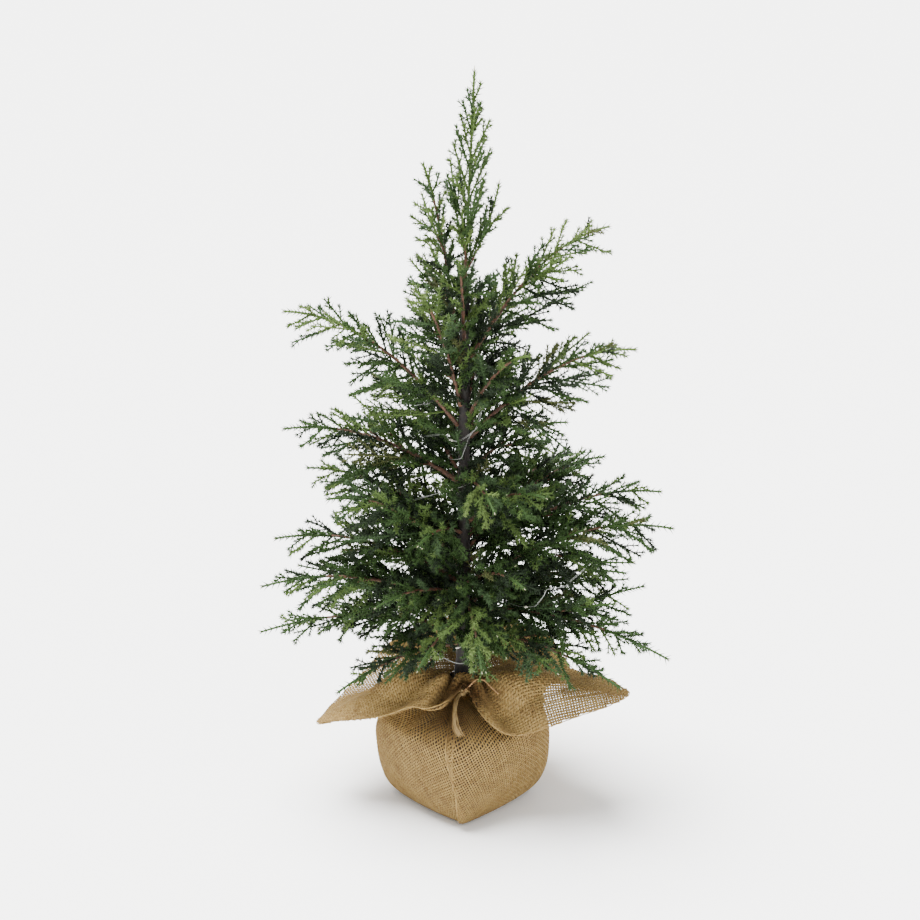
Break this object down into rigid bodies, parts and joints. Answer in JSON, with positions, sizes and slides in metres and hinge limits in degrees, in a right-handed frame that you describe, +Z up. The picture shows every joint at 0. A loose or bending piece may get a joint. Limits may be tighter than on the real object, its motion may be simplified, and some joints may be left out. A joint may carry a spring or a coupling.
{
  "type": "artificial cedar tree on a burlap root ball",
  "caption": "Small artificial cedar tree: a slim trunk with boughs of open needle sprays, standing on a burlap-wrapped root ball that is tied at the neck.",
  "frame": {"origin": "centre of the flat underside of the root ball", "axes": "+Z up along the trunk, front of the tree towards -Y, +X to the right as seen from the front"},
  "size_m": [0.339, 0.2625, 0.6106],
  "materials": {
    "burlap": "coarse open plain weave",
    "jute_twine": "twisted, hairy",
    "bark": "rough",
    "cedar_foliage": "satin"
  },
  "bodies": {
    "root": {"bough_low_back": "bark", "bough_low_back_left": "bark", "bough_low_back_right": "bark", "bough_low_front_right": "bark", "bough_low_left": "bark", "bough_low_right": "bark", "bough_lower_left": "bark", "bough_lower_right": "bark", "bough_lower_side_left": "bark", "bough_lower_side_right": "bark", "bough_middle_back_right": "bark", "bough_middle_right": "bark", "bough_middle_side_left": "bark", "bough_upper_left": "bark", "burlap_flare": "burlap", "foliage_high_back": "cedar_foliage", "foliage_high_back_right": "cedar_foliage", "foliage_high_front_left": "cedar_foliage", "foliage_high_front_right": "cedar_foliage", "foliage_high_left": "cedar_foliage", "foliage_high_right": "cedar_foliage", "foliage_leader": "cedar_foliage", "foliage_low_back": "cedar_foliage", "foliage_low_back_left": "cedar_foliage", "foliage_low_back_right": "cedar_foliage", "foliage_low_front": "cedar_foliage", "foliage_low_front_centre": "cedar_foliage", "foliage_low_front_left": "cedar_foliage", "foliage_low_front_right": "cedar_foliage", "foliage_low_left": "cedar_foliage", "foliage_low_right": "cedar_foliage", "foliage_lower_back": "cedar_foliage", "foliage_lower_back_left": "cedar_foliage", "foliage_lower_front_left": "cedar_foliage", "foliage_lower_front_right": "cedar_foliage", "foliage_lower_left": "cedar_foliage", "foliage_lower_right": "cedar_foliage", "foliage_lower_side_left": "cedar_foliage", "foliage_lower_side_right": "cedar_foliage", "foliage_middle_back": "cedar_foliage", "foliage_middle_back_right": "cedar_foliage", "foliage_middle_front_left": "cedar_foliage", "foliage_middle_front_right": "cedar_foliage", "foliage_middle_left": "cedar_foliage", "foliage_middle_right": "cedar_foliage", "foliage_middle_side_left": "cedar_foliage", "foliage_middle_side_right": "cedar_foliage", "foliage_top_front": "cedar_foliage", "foliage_top_left": "cedar_foliage", "foliage_upper_back": "cedar_foliage", "foliage_upper_back_left": "cedar_foliage", "foliage_upper_front": "cedar_foliage", "foliage_upper_left": "cedar_foliage", "foliage_upper_right": "cedar_foliage", "foliage_upper_side_right": "cedar_foliage", "root_ball": "burlap", "trunk": "bark", "twine_tie": "jute_twine"}
  },
  "joints": []
}
